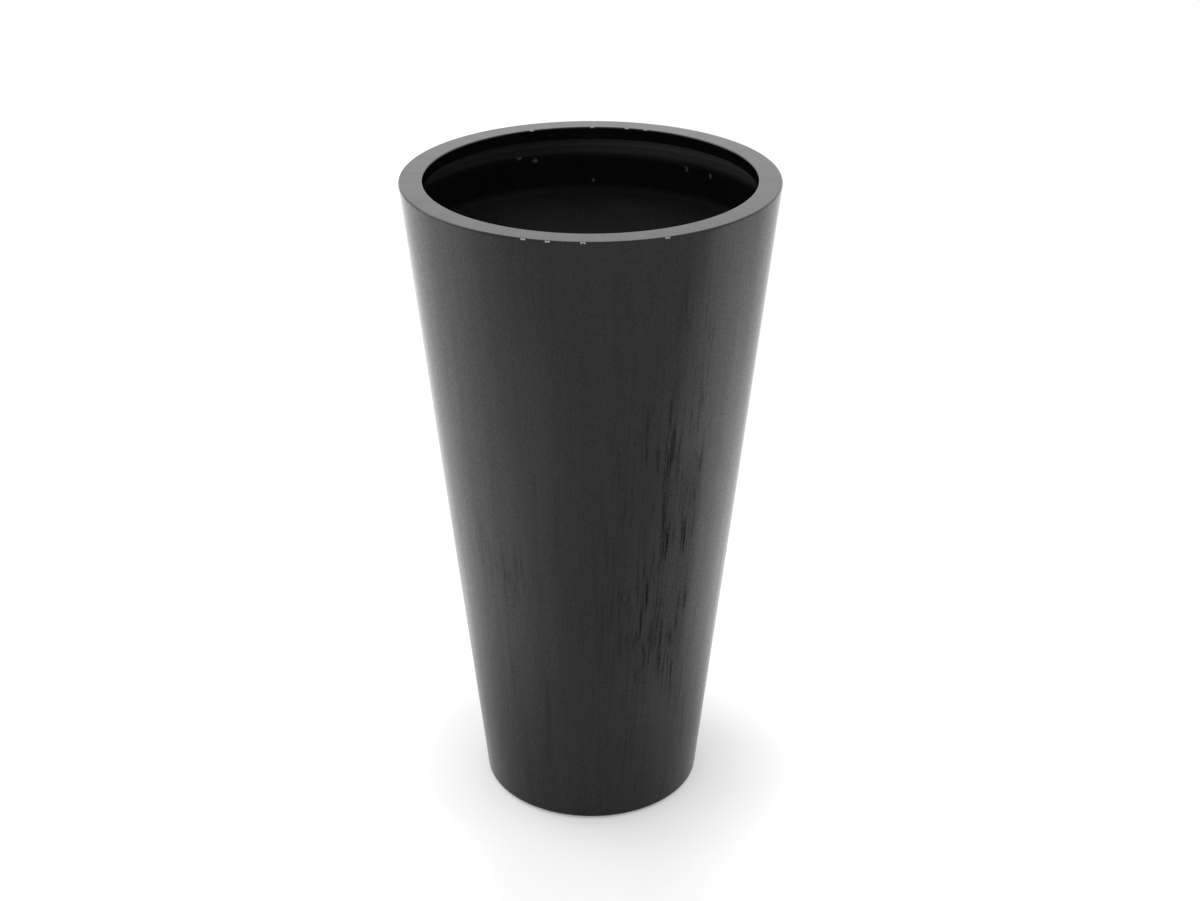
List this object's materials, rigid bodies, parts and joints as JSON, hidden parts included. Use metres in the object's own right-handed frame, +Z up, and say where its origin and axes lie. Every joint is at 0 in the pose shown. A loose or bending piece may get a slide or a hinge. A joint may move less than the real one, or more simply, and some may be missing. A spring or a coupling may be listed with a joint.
{
  "type": "tall tapered planter",
  "caption": "Tall round tapered floor planter with a flat rim turned down into the mouth, a bonded false floor with a rubber drain bung, and rubber feet.",
  "frame": {"origin": "on the ground, on the planter's axis, at the level of the foot pads' undersides", "axes": "+Z up along the axis the planter is turned about, from the foot to the rim; +X and +Y are alike"},
  "size_m": [0.4396, 0.4396, 0.8],
  "materials": {
    "lacquer": "high gloss black lacquer over glass-fibre laminate",
    "flow_coat": "black flow coat brushed over laminate, satin",
    "filler": "black polyester filler and glue, smoothed by hand",
    "bung_rubber": "moulded black rubber",
    "pad_rubber": "flat black rubber"
  },
  "bodies": {
    "planter": {"shell": "lacquer", "rim_ring": "lacquer", "rim_bond": "filler", "false_floor": "flow_coat", "floor_bond": "filler", "foot_pad_1": "pad_rubber", "foot_pad_2": "pad_rubber", "foot_pad_3": "pad_rubber", "foot_pad_4": "pad_rubber"},
    "floor_bung": {"floor_bung": "bung_rubber"}
  },
  "joints": [
    {"name": "floor_bung_lift", "type": "slide", "parent": "planter", "child": "floor_bung", "axis": [0, 0, 1], "range_m": [0, 0.12]}
  ]
}
